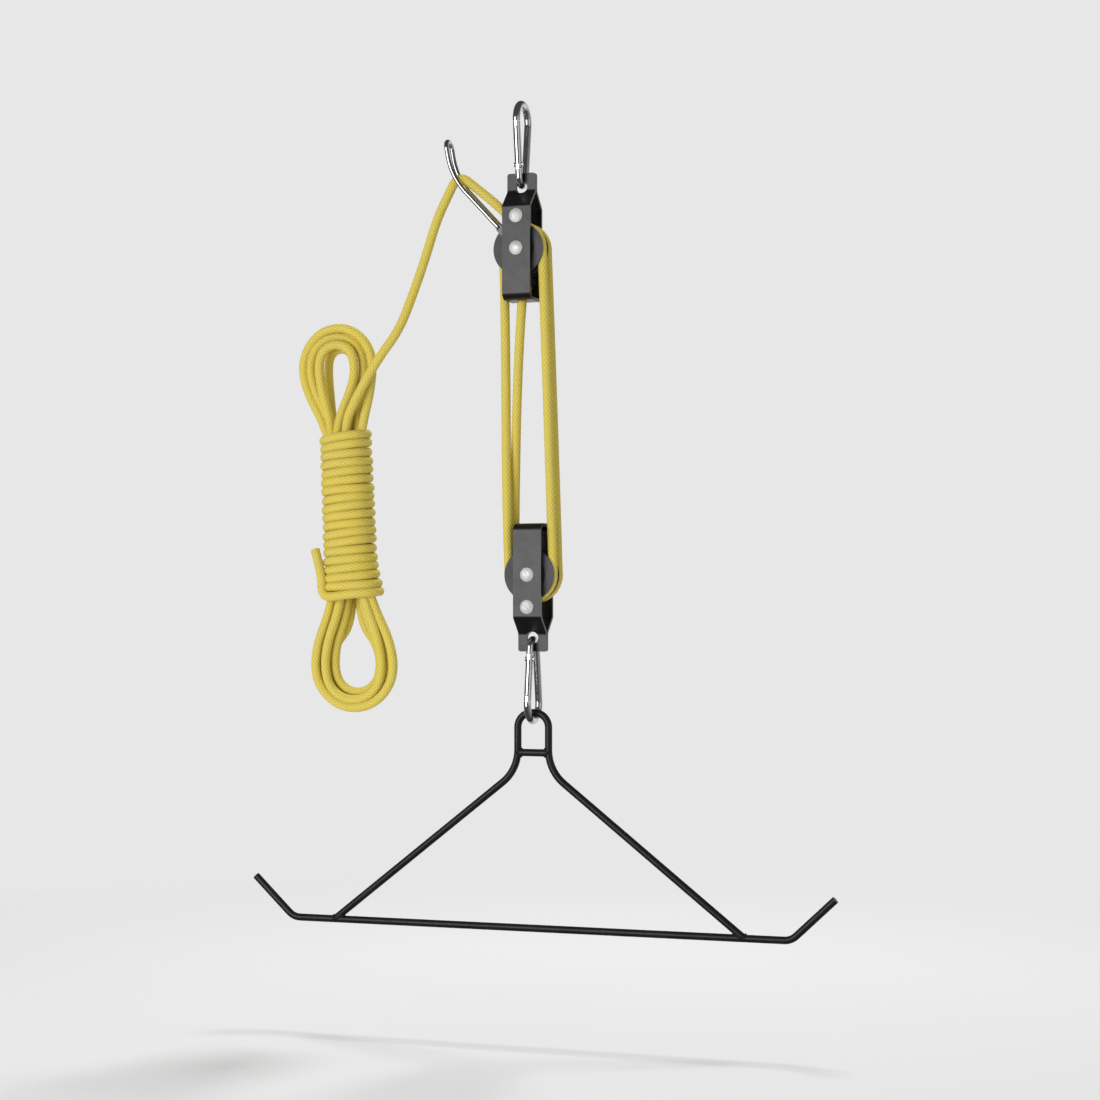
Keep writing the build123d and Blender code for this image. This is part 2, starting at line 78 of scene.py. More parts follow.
def grainOf(tree, scale, detail, rough=0.5, stretch=(1, 1, 1)):
    place = put(tree, "ShaderNodeTexCoord").outputs["Object"]
    mapped = put(tree, "ShaderNodeMapping", {"Vector": place, "Scale": stretch}).outputs["Vector"]
    values = {"Vector": mapped, "Scale": scale, "Detail": detail, "Roughness": rough}
    return put(tree, "ShaderNodeTexNoise", values).outputs["Fac"]


def distanceFrom(tree, centre, ways):  # counted along the given ways alone
    place = put(tree, "ShaderNodeTexCoord").outputs["Object"]
    offset = put(tree, "ShaderNodeVectorMath", {0: place, 1: centre}, operation="SUBTRACT").outputs[0]
    flat = put(tree, "ShaderNodeVectorMath", {0: offset, 1: ways}, operation="MULTIPLY").outputs[0]
    return put(tree, "ShaderNodeVectorMath", {0: flat}, operation="LENGTH").outputs["Value"]


def spread(tree, value, low, high, fromLow=0.3, fromHigh=0.7):  # from most of a noise's reach
    values = {"Value": value, "From Min": fromLow, "From Max": fromHigh, "To Min": low, "To Max": high}
    return put(tree, "ShaderNodeMapRange", values).outputs["Result"]


def blendColour(tree, factor, first, second):
    node = put(tree, "ShaderNodeMix", data_type="RGBA")
    link(tree, factor, node.inputs[0])
    for value, socket in ((first, node.inputs[6]), (second, node.inputs[7])):  # its colour sockets
        link(tree, value if isinstance(value, bpy.types.NodeSocket) else (*value, 1), socket)
    return node.outputs[2]


def raised(tree, surface, height, strength, distance):
    values = {"Height": height, "Strength": strength, "Distance": distance}
    bump = put(tree, "ShaderNodeBump", values)
    tree.links.new(bump.outputs["Normal"], surface.inputs["Normal"])


def newFinish(facts):
    material = bpy.data.materials.new(facts["name"])
    material.use_nodes = True
    tree = material.node_tree
    surface = tree.nodes["Principled BSDF"]
    surface.inputs["Base Color"].default_value = (*facts["base"], 1)
    surface.inputs["Roughness"].default_value = facts["roughness"]
    surface.inputs["Metallic"].default_value = facts["metallic"]
    surface.inputs["Specular IOR Level"].default_value = facts["specular"]
    return material, tree, surface


# rope

rope = {
    "dia": 8.0 * mm,
    "freeLength": 5.88,  # tail, loops and wrap, in metres
    "strands": 8,  # each way round
    "lay": 4.6 * mm,  # length of one diamond
    "relief": 0.3 * mm,
    "sunk": 0.55,  # share of the relief that lies inside the rope's size
    "dip": 0.55,  # share of its height that a strand loses where another crosses it
    "step": 1.43 * mm,
    "sides": 24,
}
ropeLook = {
    "name": "yellowBraid",
    "base": (0.79, 0.645, 0.108),
    "deep": (0.55, 0.395, 0.036),  # painted shade between the strands
    "dusty": (0.715, 0.61, 0.15),
    "roughness": 0.62,
    "metallic": 0.0,
    "specular": 0.25,
    "patches": (38.0, 4.0),  # noise scale and detail
    "fuzz": (900.0, 2.0),
    "wornMost": 0.75,  # share of the dusty tone
    "shade": 0.85,
    "shadeHeights": (0.05, 0.55),  # full shade below the first, none above the second
    "gloss": (0.52, 0.74),
    "sheen": 0.05,
    "sheenRough": 0.5,
    "fibres": 5,  # to a strand
    "fibreTone": 0.06,
    "fibreHigh": 0.1,
    "fuzzHigh": 0.35,
    "bump": (0.55, 0.35 * mm),  # strength and height
}


def braidOf(tree, around, along, strands, lay):
    turns = calc(tree, "MULTIPLY", around, strands)
    rise = calc(tree, "DIVIDE", along, lay)
    right = calc(tree, "ADD", turns, rise)
    left = calc(tree, "SUBTRACT", turns, rise)
    rightPart = calc(tree, "FRACT", right)
    leftPart = calc(tree, "FRACT", left)
    cells = calc(tree, "ADD", calc(tree, "FLOOR", right), calc(tree, "FLOOR", left))
    over = calc(tree, "FLOORED_MODULO", cells, 2.0)  # the strands take turns on top
    rightHill = calc(tree, "SINE", calc(tree, "MULTIPLY", rightPart, math.pi))
    leftHill = calc(tree, "SINE", calc(tree, "MULTIPLY", leftPart, math.pi))
    dip = rope["dip"]
    rightTop = calc(tree, "MULTIPLY", rightHill, calc(tree, "MULTIPLY_ADD", leftHill, dip, 1 - dip))
    leftTop = calc(tree, "MULTIPLY", leftHill, calc(tree, "MULTIPLY_ADD", rightHill, dip, 1 - dip))
    change = calc(tree, "SUBTRACT", leftTop, rightTop)
    height = calc(tree, "MULTIPLY_ADD", change, over, rightTop)
    acrossChange = calc(tree, "SUBTRACT", leftPart, rightPart)
    across = calc(tree, "MULTIPLY_ADD", acrossChange, over, rightPart)
    return height, across


def makeRopeFinish():
    look = ropeLook
    material, tree, surface = newFinish(look)
    sine = put(tree, "ShaderNodeAttribute", attribute_name="braidSine").outputs["Fac"]
    cosine = put(tree, "ShaderNodeAttribute", attribute_name="braidCosine").outputs["Fac"]
    along = put(tree, "ShaderNodeAttribute", attribute_name="braidAlong").outputs["Fac"]
    around = calc(tree, "DIVIDE", calc(tree, "ARCTAN2", sine, cosine), 2 * math.pi)
    height, across = braidOf(tree, around, along, float(rope["strands"]), rope["lay"])
    fibre = calc(tree, "SINE", calc(tree, "MULTIPLY", across, 2 * math.pi * look["fibres"]))
    patches = grainOf(tree, *look["patches"])
    fuzz = grainOf(tree, *look["fuzz"])
    worn = blendColour(tree, spread(tree, patches, 0.0, look["wornMost"]), look["base"], look["dusty"])
    # painted shade: darker where the braid sinks between the strands
    depth = spread(tree, height, look["shade"], 0.0, *look["shadeHeights"])
    creaseShadeAndFibres = calc(tree, "MULTIPLY_ADD", fibre, look["fibreTone"], depth)
    tree.links.new(blendColour(tree, creaseShadeAndFibres, worn, look["deep"]), surface.inputs["Base Color"])
    tree.links.new(spread(tree, fuzz, *look["gloss"]), surface.inputs["Roughness"])
    surface.inputs["Sheen Weight"].default_value = look["sheen"]
    surface.inputs["Sheen Roughness"].default_value = look["sheenRough"]
    relief = calc(tree, "MULTIPLY_ADD", fibre, look["fibreHigh"], height)
    relief = calc(tree, "MULTIPLY_ADD", fuzz, look["fuzzHigh"], relief)
    raised(tree, surface, relief, *look["bump"])
    return material


ropeFinish = makeRopeFinish()


def newNodes(name, inputs):
    tree = bpy.data.node_groups.new(name, "GeometryNodeTree")
    tree.interface.new_socket("Geometry", in_out="INPUT", socket_type="NodeSocketGeometry")
    for label, kind in inputs:
        tree.interface.new_socket(label, in_out="INPUT", socket_type="NodeSocket" + kind)
    tree.interface.new_socket("Geometry", in_out="OUTPUT", socket_type="NodeSocketGeometry")
    return tree, put(tree, "NodeGroupInput").outputs, put(tree, "NodeGroupOutput").inputs


def capture(tree, geometry, name, value):
    node = put(tree, "GeometryNodeCaptureAttribute", domain="POINT")
    node.capture_items.new("FLOAT", name)
    tree.links.new(value, node.inputs[name])
    tree.links.new(geometry, node.inputs["Geometry"])
    return node.outputs


def store(tree, geometry, name, value):
    values = {"Geometry": geometry, "Name": name, "Value": value}
    node = put(tree, "GeometryNodeStoreNamedAttribute", values, data_type="FLOAT", domain="POINT")
    return node.outputs["Geometry"]


def makeRopeTree():
    inputs = (
        ("Radius", "Float"), ("Step", "Float"), ("Sides", "Int"), ("Strands", "Float"),
        ("Lay", "Float"), ("Relief", "Float"), ("Finish", "Material"),
    )
    tree, given, result = newNodes("ropeBraid", inputs)
    route = put(tree, "GeometryNodeMeshToCurve", {"Mesh": given["Geometry"]}).outputs["Curve"]
    evenValues = {"Curve": route, "Length": given["Step"]}
    even = put(tree, "GeometryNodeResampleCurve", evenValues, mode="LENGTH").outputs["Curve"]
    spot = put(tree, "GeometryNodeSplineParameter").outputs
    rail = capture(tree, even, "along", spot["Length"])
    ringValues = {"Resolution": given["Sides"], "Radius": given["Radius"]}
    ring = put(tree, "GeometryNodeCurvePrimitiveCircle", ringValues, mode="RADIUS").outputs["Curve"]
    profile = capture(tree, ring, "around", spot["Factor"])
    tubeValues = {"Curve": rail["Geometry"], "Profile Curve": profile["Geometry"], "Fill Caps": True}
    tube = put(tree, "GeometryNodeCurveToMesh", tubeValues).outputs["Mesh"]
    around, along = profile["around"], rail["along"]
    height = braidOf(tree, around, along, given["Strands"], given["Lay"])[0]
    lift = calc(tree, "MULTIPLY", height, given["Relief"])
    normal = put(tree, "GeometryNodeInputNormal").outputs["Normal"]
    offset = put(tree, "ShaderNodeVectorMath", operation="SCALE")
    tree.links.new(normal, offset.inputs[0])
    tree.links.new(lift, offset.inputs["Scale"])
    angle = calc(tree, "MULTIPLY", around, 2 * math.pi)
    marked = store(tree, tube, "braidSine", calc(tree, "SINE", angle))
    marked = store(tree, marked, "braidCosine", calc(tree, "COSINE", angle))
    marked = store(tree, marked, "braidAlong", along)
    moved = put(tree, "GeometryNodeSetPosition", {"Geometry": marked, "Offset": offset.outputs[0]})
    smooth = put(tree, "GeometryNodeSetShadeSmooth", {"Geometry": moved.outputs["Geometry"]})
    plain = put(tree, "GeometryNodeRealizeInstances", {"Geometry": smooth.outputs[0]}).outputs[0]
    dressed = put(tree, "GeometryNodeSetMaterial", {"Geometry": plain, "Material": given["Finish"]})
    tree.links.new(dressed.outputs[0], result["Geometry"])
    return tree


ropeTree = makeRopeTree()


def linked(name, data):
    made = bpy.data.objects.new(name, data)
    bpy.context.scene.collection.objects.link(made)
    return made


def bakeNodes(name, places, edges, tree, values):
    line = bpy.data.meshes.new(name + "Line")
    line.from_pydata(places, edges, [])
    source = linked(name + "Line", line)
    modifier = source.modifiers.new(tree.name, "NODES")
    modifier.node_group = tree
    for item in tree.interface.items_tree:
        if item.in_out == "INPUT" and item.name in values:
            modifier[item.identifier] = values[item.name]
    bpy.context.view_layer.update()
    seen = source.evaluated_get(bpy.context.evaluated_depsgraph_get())
    mesh = bpy.data.meshes.new_from_object(seen)
    source.modifiers.remove(modifier)
    bpy.data.objects.remove(source)
    return linked(name, mesh)


def splinePoints(points, resolution=8):
    line = bpy.data.curves.new("route", "CURVE")
    line.dimensions = "3D"
    line.resolution_u = resolution
    spline = line.splines.new("NURBS")
    spline.points.add(len(points) - 1)
    for control, place in zip(spline.points, points):
        control.co = (*place, 1)
    spline.order_u = 3  # after the points, or it stays at straight runs
    spline.use_endpoint_u = True
    holder = linked("route", line)
    bpy.context.view_layer.update()
    mesh = bpy.data.meshes.new_from_object(holder)
    path = [vertex.co.copy() for vertex in mesh.vertices]
    bpy.data.objects.remove(holder)
    return path


def makeRope(name, path, step=rope["step"], sides=rope["sides"]):
    values = {
        "Radius": rope["dia"] / 2 - rope["relief"] * rope["sunk"], "Step": step, "Sides": sides,
        "Strands": float(rope["strands"]), "Lay": rope["lay"], "Relief": rope["relief"],
        "Finish": ropeFinish,
    }
    edges = [(i, i + 1) for i in range(len(path) - 1)]
    piece = bakeNodes(name, path, edges, ropeTree, values)
    return piece


def pathLength(path):
    return sum((b - a).length for a, b in zip(path, path[1:]))


# the free rope: out under the keeper, over the bail, down to the hank and round it

hank = {
    "centre": (-164.5, 0.0, -348.0),
    "lean": 2.5,  # degrees
    "waistHalf": 79.0,
    "rearMore": 16.0,  # how much further out the rear loop opens
    "outerTuck": 0.4,  # how deep the outer runs lie at the wrap
    "waistIn": 42.0,  # from the hank's middle to the extra point on a waist run
    "slot": 7.5,
    "layer": 7.7,
    "belly": 38.0,  # from the waist's end to a loop's widest place
    "waistShift": 1.5,
    "wrapTop": 72.35,
    "wrapPitch": 7.7,
    "wrapTurns": 18,
    "wrapPoints": 12,  # to a turn
    "wrapWide": 19.4,
    "wrapGrow": 1.4,  # more at the last turn than at the first
    "wrapFlare": 6.0,  # more still at the last few turns
    "flareFrom": 0.75,  # share of the turns before the flare
    "flarePower": 1.5,
    "wrapSways": ((0.55, 1.7, 0.0), (0.33, 0.63, 1.0)),  # lean of hand-laid turns: size, pace, start
    "wrapLoose": 0.5,  # how much looser a turn may be than the one beside it
    "loosePace": 2.3,
    "wrapDeep": 16.4,
    "wrapSquare": 2.35,  # 2 would be an ellipse
}
tail = [
    (-5.673, -5.35, -98.944),
    (-15.113, -5.35, -87.287),
    (-45.5, -5.35, -62.8),
    (-51.0, -5.35, -58.4),
    (-56.0, -5.35, -57.9),
    (-60.6, -5.35, -60.8),
    (-63.9, -5.35, -67.0),
    (-77.0, -5.35, -92.0),
    (-88.0, -5.35, -126.0),
    (-99.3, -9.0, -160.0),
    (-109.0, -14.0, -188.0),
    (-127.5, -18.0, -213.0),
]


def inMetres(point):
    return Vector(point) * mm


def hankPoint(across, depth, along):
    lean = math.radians(hank["lean"])
    centre = hank["centre"]
    return inMetres((
        centre[0] + across * math.cos(lean) - along * math.sin(lean),
        centre[1] + depth,
        centre[2] + across * math.sin(lean) + along * math.cos(lean),
    ))


def hankLoops():
    outer, inner = 1.5 * hank["slot"], 0.5 * hank["slot"]  # four runs side by side
    front, middle, rear = -hank["layer"], 0.0, hank["layer"]
    half, shift, waist = hank["waistHalf"], hank["waistShift"], hank["waistIn"]
    far = half + hank["rearMore"]
    belly = half + hank["belly"]
    roundShare = math.tan(math.pi / 8)  # half a side of an octagon, to its inner radius
    loops = (  # run in, run out, which end, middle, half width, reach, how far each run parts, and where
        ((inner, front), (-inner, front), -1, 3.4, 26.7, 162.5, 4.4, 2.1, half),
        ((-inner, front), (-outer, front), 1, -1.1, 16.9, 150.5, 1.6, 1.0, half),
        ((-outer, front), (outer, front), -1, 4.3, 37.1, 169.5, 1.63, 1.85, half),
        ((outer, front), (-outer, middle), 1, -2.0, 34.8, 165.5, 1.6, 1.64, half),
        ((-outer, middle), (outer, middle), -1, 1.2, 32.0, 165.0, 1.0, 1.3, half),
        ((outer, middle), (-inner, middle), 1, -4.0, 25.4, 158.5, 1.0, 3.0, half),
        ((-inner, middle), (inner, middle), -1, 4.2, 21.6, 156.0, 0.9, 2.5, half),
        ((inner, middle), (-inner, rear), 1, -1.8, 14.2, 148.0, 1.0, 4.0, half),
        ((-inner, rear), (inner, rear), -1, -0.6, 23.0, 158.0, 1.0, 1.0, far),
    )
    points = [  # down from the tail into the first run
        hankPoint(20.0, front - 9.5, 101.0),
        hankPoint(inner + shift, front - 1.5, half + 1.0),
        hankPoint(inner + shift, front, waist),
    ]
    for start, end, side, mid, width, reach, startPart, endPart, mouth in loops:
        swing = 1 if start[0] > end[0] else -1
        startTuck, endTuck = (1.0 if abs(run[0]) == inner else hank["outerTuck"] for run in (start, end))
        third = (end[1] - start[1]) / 3
        brow = swing * width * roundShare
        cheek = reach - width + abs(brow)
        route = (
            (start[0] + shift, start[1], waist),
            (start[0] * startPart + shift, start[1] * startTuck, mouth),
            (mid + swing * width, start[1], belly),
            (mid + swing * width, start[1], cheek),
            (mid + brow, start[1] + third, reach),
            (mid - brow, end[1] - third, reach),
            (mid - swing * width, end[1], cheek),
            (mid - swing * width, end[1], belly),
            (end[0] * endPart + shift, end[1] * endTuck, mouth),
            (end[0] + shift, end[1], waist),
        )
        points += [hankPoint(across, depth, side * along) for across, depth, along in route]
    points.append(hankPoint(inner + shift, rear, waist))
    return points


def hankWrap():
    wide, deep, shift = hank["wrapWide"], hank["wrapDeep"], hank["waistShift"]
    top, pitch, turns, count = hank["wrapTop"], hank["wrapPitch"], hank["wrapTurns"], hank["wrapPoints"]
    power = 2 / hank["wrapSquare"]
    points = [  # up at the rear, then round
        hankPoint(shift + 0.5, 12.0, top - 17.0),
        hankPoint(shift, 16.0, top - 6.0),
        hankPoint(shift + 4.5, 17.0, top - 0.3),
    ]
    steps = turns * count + count // 2  # from the rear round to the front
    for i in range(1, steps + 1):
        angle = math.radians(90.0 - 360.0 * i / count)
        c, s = math.cos(angle), math.sin(angle)
        turn, share = i / count, i / steps
        tilt = sum(size * math.sin(pace * turn + start) for size, pace, start in hank["wrapSways"])
        loose = hank["wrapLoose"] * (1 + math.sin(hank["loosePace"] * turn)) / 2
        flared = max(0, share - hank["flareFrom"]) / (1 - hank["flareFrom"])
        flare = hank["wrapFlare"] * flared ** hank["flarePower"]
        reach = wide + hank["wrapGrow"] * share + flare + loose
        across = shift + reach * math.copysign(abs(c) ** power, c)
        depth = (deep + loose) * math.copysign(abs(s) ** power, s)
        points.append(hankPoint(across, depth, top - pitch * turn + tilt * c))
    last = top - pitch * (turns + 0.5)
    points += [  # the end, turned up at the left
        hankPoint(-11.0, -deep - 0.5, last - 1.5),
        hankPoint(-17.5, -16.0, last - 0.5),
        hankPoint(-20.5, -15.5, last + 5.0),
        hankPoint(-20.0, -15.5, last + 14.0),
        hankPoint(-22.5, -14.0, last + 26.0),
        hankPoint(-27.0, -12.0, last + 41.0),
    ]
    return points


def makeFreeRope():
    route = [inMetres(point) for point in tail] + hankLoops() + hankWrap()
    path = splinePoints(route)
    piece = makeRope("freeRope", path)
    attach(piece, "upper_block")
    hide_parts("rope_tail", "rope_hank_loops", "rope_hank_wrap")
    print("free rope:", round(pathLength(path), 3), "m,", len(piece.data.polygons), "faces")


makeFreeRope()


# the reeved rope

def axleAt(joint):  # X and Z in millimetres
    place = jointOf[joint]["pos_m"]
    return place[0] / mm, place[2] / mm


reeve = {
    "pitchRadius": 20.0,
    "upper": axleAt("upper_front_sheave_spin"),
    "lower": axleAt("lower_front_sheave_spin"),
    "travel": jointOf["hoist_travel"]["range_m"][1] / mm,
    "front": -5.35,  # Y of the front sheaves' grooves
    "back": 7.85,
    "becketZ": -164.7,
    "keeperUp": 27.6,  # from the upper axle
    "keeperBend": 7.3,  # radius of the rope under the keeper
    "tailHeading": 129.0,  # degrees
    "bow": 0.3,  # how far a strand bows outwards, clear of the straps at full hoist
    "deadBow": 2.0,
    "inGroove": 0.22,  # share of a strand that stays in line with each sheave's groove
    "step": 1.15 * mm,
    "sides": 28,
    "arcStep": 6.0,  # degrees
}


def onSheave(centre, degrees, depth, radius=reeve["pitchRadius"]):
    angle = math.radians(degrees)
    return Vector((centre[0] + radius * math.cos(angle), depth, centre[1] + radius * math.sin(angle)))


def arcOf(centre, start, turn, depth, radius=reeve["pitchRadius"]):
    count = max(3, round(abs(turn) / reeve["arcStep"]))
    return [onSheave(centre, start + turn * i / count, depth, radius) for i in range(count + 1)]


def reevedPiece(name, points, node, body):
    piece = makeRope(name, [point * mm for point in points], reeve["step"], reeve["sides"])
    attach(piece, body)
    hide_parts(node)
    return piece


def makeStrand(name, top, bottom, node, bow):
    upperBend = top.lerp(bottom, reeve["inGroove"])
    lowerBend = bottom.lerp(top, reeve["inGroove"])
    for bend, end in ((upperBend, top), (lowerBend, bottom)):
        bend.x -= bow
        bend.y = end.y  # a strand leaves each sheave straight along its groove
    piece = reevedPiece(name, splinePoints([top, upperBend, lowerBend, bottom]), node, "upper_block")
    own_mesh(piece)


def makeReeving():
    upper, lower, front, back = (reeve[key] for key in ("upper", "lower", "front", "back"))
    radius, bow = reeve["pitchRadius"], reeve["bow"]
    right = math.degrees(math.atan2(lower[0] - upper[0], upper[1] - lower[1]))
    left = 180 + right  # where the strands of each side touch the sheaves
    becket = Vector((0, 0, reeve["becketZ"]))
    reachX, reachZ = becket.x - lower[0], becket.z - lower[1]
    dead = math.degrees(math.atan2(reachZ, reachX) + math.acos(radius / math.hypot(reachX, reachZ)))
    makeStrand("deadStrand", becket, onSheave(lower, dead, back), "rope_dead_strand", reeve["deadBow"])
    leftTop, leftFoot = onSheave(upper, left, back), onSheave(lower, left, front)
    makeStrand("leftStrand", leftTop, leftFoot, "rope_left_strand", bow)
    for name, depth, node in (
        ("rightBackStrand", back, "rope_right_back_strand"),
        ("rightFrontStrand", front, "rope_right_front_strand"),
    ):
        makeStrand(name, onSheave(upper, right, depth), onSheave(lower, right, depth), node, -bow)
    firstTurn = arcOf(lower, dead, 360 + right - dead, back)
    reevedPiece("lowerBackTurn", firstTurn, "rope_lower_back_wrap", "lower_block")
    reevedPiece("lowerFrontTurn", arcOf(lower, left, 180, front), "rope_lower_front_wrap", "lower_block")
    reevedPiece("upperBackTurn", arcOf(upper, right, 180, back), "rope_upper_back_wrap", "upper_block")
    bend, rise = reeve["keeperBend"], reeve["keeperUp"]
    leave = 90 - math.degrees(math.acos((radius + bend) / rise))
    keeper = (upper[0], upper[1] + rise)
    lastTurn = arcOf(upper, right, leave - right, front)
    lastTurn += arcOf(keeper, leave + 180, reeve["tailHeading"] - leave - 90, front, bend)
    reevedPiece("upperFrontTurn", lastTurn, "rope_upper_front_wrap", "upper_block")


makeReeving()

knot = {
    "foot": -165.75,
    "seat": -163.45,  # top of the strap's lower bend
    "ring": 4.2,
    "ringHigh": 9.0,  # above the seat
    "ringDrop": 5.0,
    "dropPoints": 5,  # over which the ring comes down
    "points": 12,  # to a turn
    "lap": 3,  # points past the full turn
}


def makeBecketKnot():
    seat, ring = knot["seat"], knot["ring"]
    points = [(0, 0, knot["foot"]), (0, 0, seat + 2.5), (1.5, 1.0, seat + 8.0)]
    for i in range(knot["points"] + knot["lap"]):
        angle = 2 * math.pi * i / knot["points"]
        drop = knot["ringDrop"] * min(i / knot["dropPoints"], 1)
        points.append((ring * math.cos(angle), ring * math.sin(angle), seat + knot["ringHigh"] - drop))
    points += [(0.5, 4.0, seat + 8.5), (0.0, 1.0, seat + 13.0)]
    reevedPiece("becketKnot", splinePoints(points), "rope_becket_knot", "upper_block")


makeBecketKnot()
print("rope reeved")


# finishes of the metal and plastic parts: a grain is a noise's scale, detail, roughness and stretch

chromeWire = {
    "name": "chromeWire",
    "base": (0.66, 0.67, 0.68),
    "roughness": 0.12,
    "metallic": 1.0,
    "specular": 0.5,
    "grains": {"cloud": (120.0, 4.0), "drawn": (900.0, 2.0, 0.5, (1, 1, 0.12))},
    "tones": ("cloud", (0.72, 0.73, 0.74), (0.60, 0.61, 0.62)),
    "gloss": ("cloud", 0.07, 0.2),
    "bump": ("drawn", 0.03, 0.1 * mm),
}
bailFootShade = {  # pressed flat; painted shade darkens it where it meets the strap, and it is duller than the wire
    "pin": tuple(jointOf["bail_swing"]["pos_m"]),
    "ways": (1, 0, 1),  # square to the pin
    "start": 25.5 * mm,  # from the pin
    "end": 27.5 * mm,
    # colour of the painted shade
    "tone": (0.10, 0.10, 0.105),
    "dull": 0.24,
}
zincRivet = {
    "name": "zincRivet",
    "base": (0.80, 0.80, 0.79),
    "roughness": 0.5,
    "metallic": 0.45,
    "specular": 0.5,
    "grains": {"cloud": (420.0, 5.0)},
    "tones": ("cloud", (0.82, 0.82, 0.80), (0.58, 0.58, 0.56)),
    "gloss": ("cloud", 0.42, 0.6),
    "bump": ("cloud", 0.2, 0.2 * mm),
}
brightSteel = {
    "name": "brightSteel",
    "base": (0.62, 0.62, 0.63),
    "roughness": 0.28,
    "metallic": 1.0,
    "specular": 0.5,
    "grains": {"turned": (700.0, 3.0, 0.5, (1, 0.05, 1))},
    "gloss": ("turned", 0.2, 0.4),
    "bump": ("turned", 0.1, 0.1 * mm),
}
strapPaint = {
    "name": "strapPaint",
    "base": (0.006, 0.006, 0.0055),
    "roughness": 0.34,
    "metallic": 0.0,
    "specular": 0.54,
    "grains": {"cloud": (90.0, 6.0, 0.6), "grit": (1500.0, 3.0)},
    "tones": ("cloud", (0.0045, 0.0045, 0.0042), (0.008, 0.0078, 0.0072)),
    "gloss": ("cloud", 0.29, 0.38),
    "bump": ("grit", 0.12, 0.1 * mm),
}
gambrelPaint = {
    "name": "gambrelPaint",
    "base": (0.008, 0.008, 0.009),
    "roughness": 0.36,
    "metallic": 0.0,
    "specular": 0.3,
    "grains": {"cloud": (30.0, 4.0), "peel": (420.0, 3.0)},
    "tones": ("cloud", (0.007, 0.007, 0.0075), (0.014, 0.0135, 0.0135)),
    "gloss": ("peel", 0.28, 0.44),
    "bump": ("peel", 0.16, 0.2 * mm),
}
sheavePlastic = {
    "name": "sheavePlastic",
    "base": (0.036, 0.033, 0.040),
    "roughness": 0.5,
    "metallic": 0.0,
    "specular": 0.5,
    "grains": {"cloud": (70.0, 4.0), "moulded": (1800.0, 2.0)},
    "tones": ("cloud", (0.030, 0.028, 0.034), (0.055, 0.051, 0.060)),
    "gloss": ("moulded", 0.4, 0.6),
    "bump": ("moulded", 0.1, 0.1 * mm),
}


def makeFinish(facts, foot=None):
    material, tree, surface = newFinish(facts)
    grains = {name: grainOf(tree, *grain) for name, grain in facts["grains"].items()}
    tone = facts["base"]
    if "tones" in facts:
        grain, first, second = facts["tones"]
        tone = blendColour(tree, spread(tree, grains[grain], 0.0, 1.0), first, second)
    grain, low, high = facts["gloss"]
    gloss = spread(tree, grains[grain], low, high)
    if foot:
        away = distanceFrom(tree, foot["pin"], foot["ways"])
        # painted shade on the bail's foot, which is also made duller
        footShadeAndDull = spread(tree, away, 1.0, 0.0, foot["start"], foot["end"])
        tone = blendColour(tree, footShadeAndDull, tone, foot["tone"])
        gloss = calc(tree, "MULTIPLY_ADD", footShadeAndDull, foot["dull"], gloss)
    if isinstance(tone, bpy.types.NodeSocket):
        tree.links.new(tone, surface.inputs["Base Color"])
    tree.links.new(gloss, surface.inputs["Roughness"])
    grain, strength, distance = facts["bump"]
    raised(tree, surface, grains[grain], strength, distance)
    return material


finishes = {
    "chrome_wire": makeFinish(chromeWire, bailFootShade),
    "strap_paint": makeFinish(strapPaint),
    "zinc_steel": makeFinish(zincRivet),
    "bright_steel": makeFinish(brightSteel),
    "sheave_plastic": makeFinish(sheavePlastic),
    "rope_braid": ropeFinish,
    "gambrel_paint": makeFinish(gambrelPaint),
}
for entry in frame["record"]["subparts"]:
    node = frame["nodes"][entry["node"]]
    node.data.materials.clear()
    node.data.materials.append(finishes[entry["material_slot"]])
print("finishes set on", len(frame["nodes"]), "nodes")


# welds of the gambrel

weld = {
    "rod": 3.175,  # radius
    "mid": 10.0,
    "barZ": -704.725,
    "legX": 186.5,
    "bendX": 14.0,
    "bendZ": -568.925,
    "crossZ": -553.925,
    "ringPoints": 48,
    "beads": 26,  # to a ring
    "bead": 1.15 * mm,
    "rounds": 2,  # how finely a bead is divided
    "sizes": (0.8, 1.2),
    "seed": 4,
}


def makeWeldTree():
    inputs = (
        ("Count", "Int"), ("Bead", "Float"), ("Rounds", "Int"), ("Smallest", "Float"),
        ("Largest", "Float"), ("Seed", "Int"), ("Finish", "Material"),
    )
    tree, given, result = newNodes("weldBeads", inputs)
    route = put(tree, "GeometryNodeMeshToCurve", {"Mesh": given["Geometry"]}).outputs["Curve"]
    spotValues = {"Curve": route, "Count": given["Count"]}
    spots = put(tree, "GeometryNodeCurveToPoints", spotValues, mode="COUNT").outputs
    ballValues = {"Radius": given["Bead"], "Subdivisions": given["Rounds"]}
    ball = put(tree, "GeometryNodeMeshIcoSphere", ballValues).outputs["Mesh"]
    sizeValues = {2: given["Smallest"], 3: given["Largest"], "Seed": given["Seed"]}
    size = put(tree, "FunctionNodeRandomValue", sizeValues, data_type="FLOAT").outputs[1]
    placeValues = {
        "Points": spots["Points"], "Instance": ball, "Rotation": spots["Rotation"], "Scale": size,
    }
    beads = put(tree, "GeometryNodeInstanceOnPoints", placeValues).outputs["Instances"]
    plain = put(tree, "GeometryNodeRealizeInstances", {"Geometry": beads}).outputs[0]
    smooth = put(tree, "GeometryNodeSetShadeSmooth", {"Geometry": plain}).outputs[0]
    dressed = put(tree, "GeometryNodeSetMaterial", {"Geometry": smooth, "Material": given["Finish"]})
    tree.links.new(dressed.outputs[0], result["Geometry"])
    return tree


def roundRod():  # cosine and sine at each point of a ring
    count = weld["ringPoints"]
    angles = [2 * math.pi * i / count for i in range(count)]
    return [(math.cos(angle), math.sin(angle)) for angle in angles]


